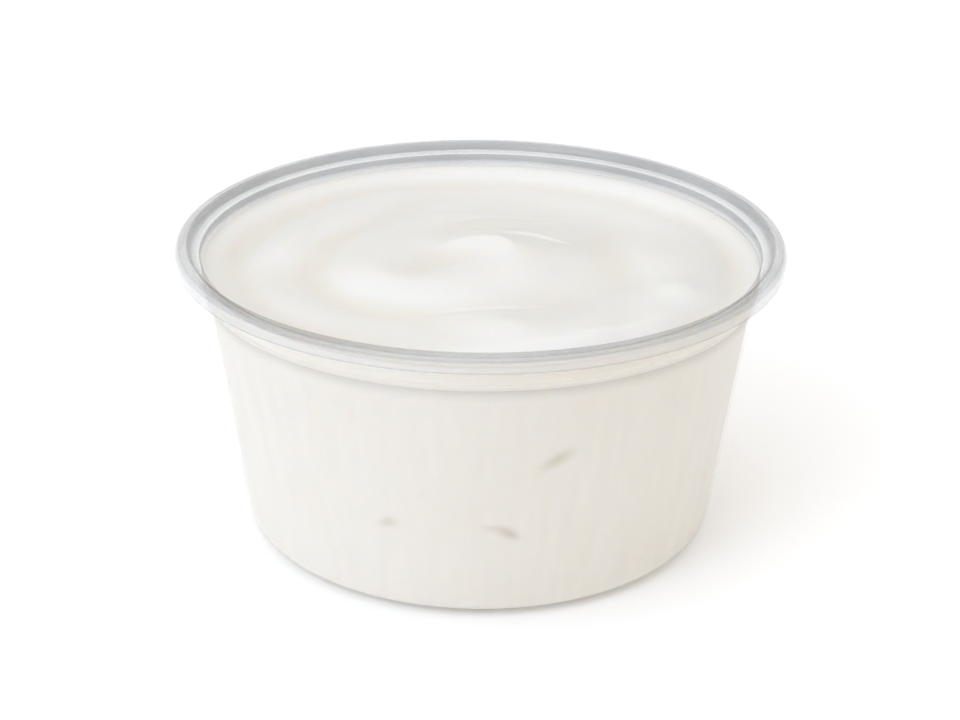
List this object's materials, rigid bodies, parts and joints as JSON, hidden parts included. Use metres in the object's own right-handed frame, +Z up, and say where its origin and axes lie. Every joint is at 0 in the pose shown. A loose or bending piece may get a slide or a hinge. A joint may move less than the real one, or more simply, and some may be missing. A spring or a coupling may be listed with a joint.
{
  "type": "portion cup of sour cream",
  "caption": "Round clear plastic portion cup with a rolled rim, filled nearly to the top with sour cream whose surface is left in a low swirl.",
  "frame": {"origin": "on the table, under the middle of the cup", "axes": "+Z up out of the cup, +Y away from the viewer of the picture, +X to the viewer's right"},
  "size_m": [0.062, 0.062, 0.031],
  "materials": {
    "clear_plastic": "thin hazy clear polypropylene, slightly blue-grey, satin gloss",
    "cream": "thick warm white sour cream with a soft satin sheen"
  },
  "bodies": {
    "root": {"cup": "clear_plastic", "sour_cream": "cream"}
  },
  "joints": []
}
